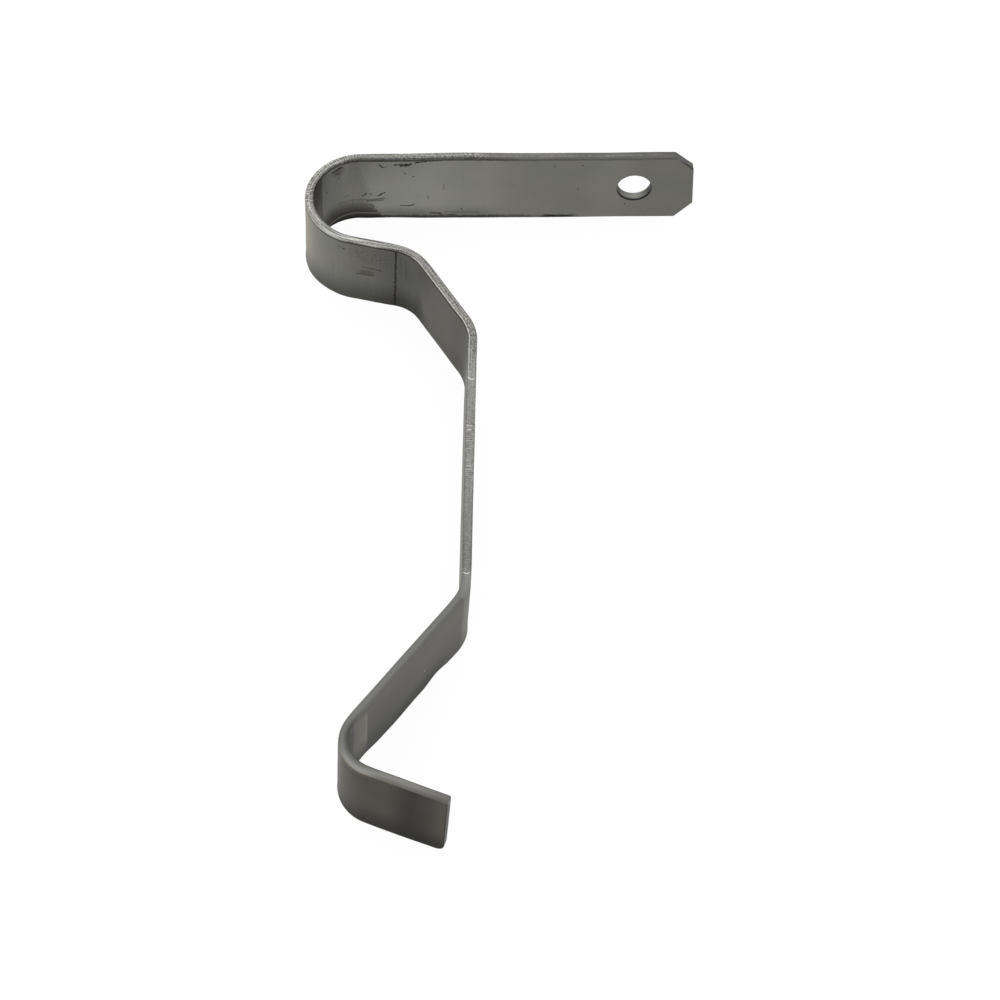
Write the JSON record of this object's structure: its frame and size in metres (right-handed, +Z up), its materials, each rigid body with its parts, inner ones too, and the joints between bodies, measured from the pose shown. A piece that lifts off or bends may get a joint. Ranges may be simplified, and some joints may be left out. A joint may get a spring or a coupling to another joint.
{
  "type": "flat spring clip",
  "caption": "Strip of spring steel bent on edge into a return loop, a cranked spring arm and an open hook, with a bolt hole in its flat tab.",
  "frame": {"origin": "centre of the bolt hole, halfway through the tab's thickness and halfway up the strip's width", "axes": "+X along the tab towards its cropped end, +Y out of the tab's outer face, -Y along the spring arm, +Z up across the strip's width as it stands on its long edge"},
  "size_m": [0.0907, 0.1668, 0.02],
  "materials": {
    "spring_steel": "dull mill finish with light forming marks"
  },
  "bodies": {
    "root": {"spring_strip": "spring_steel"}
  },
  "joints": []
}
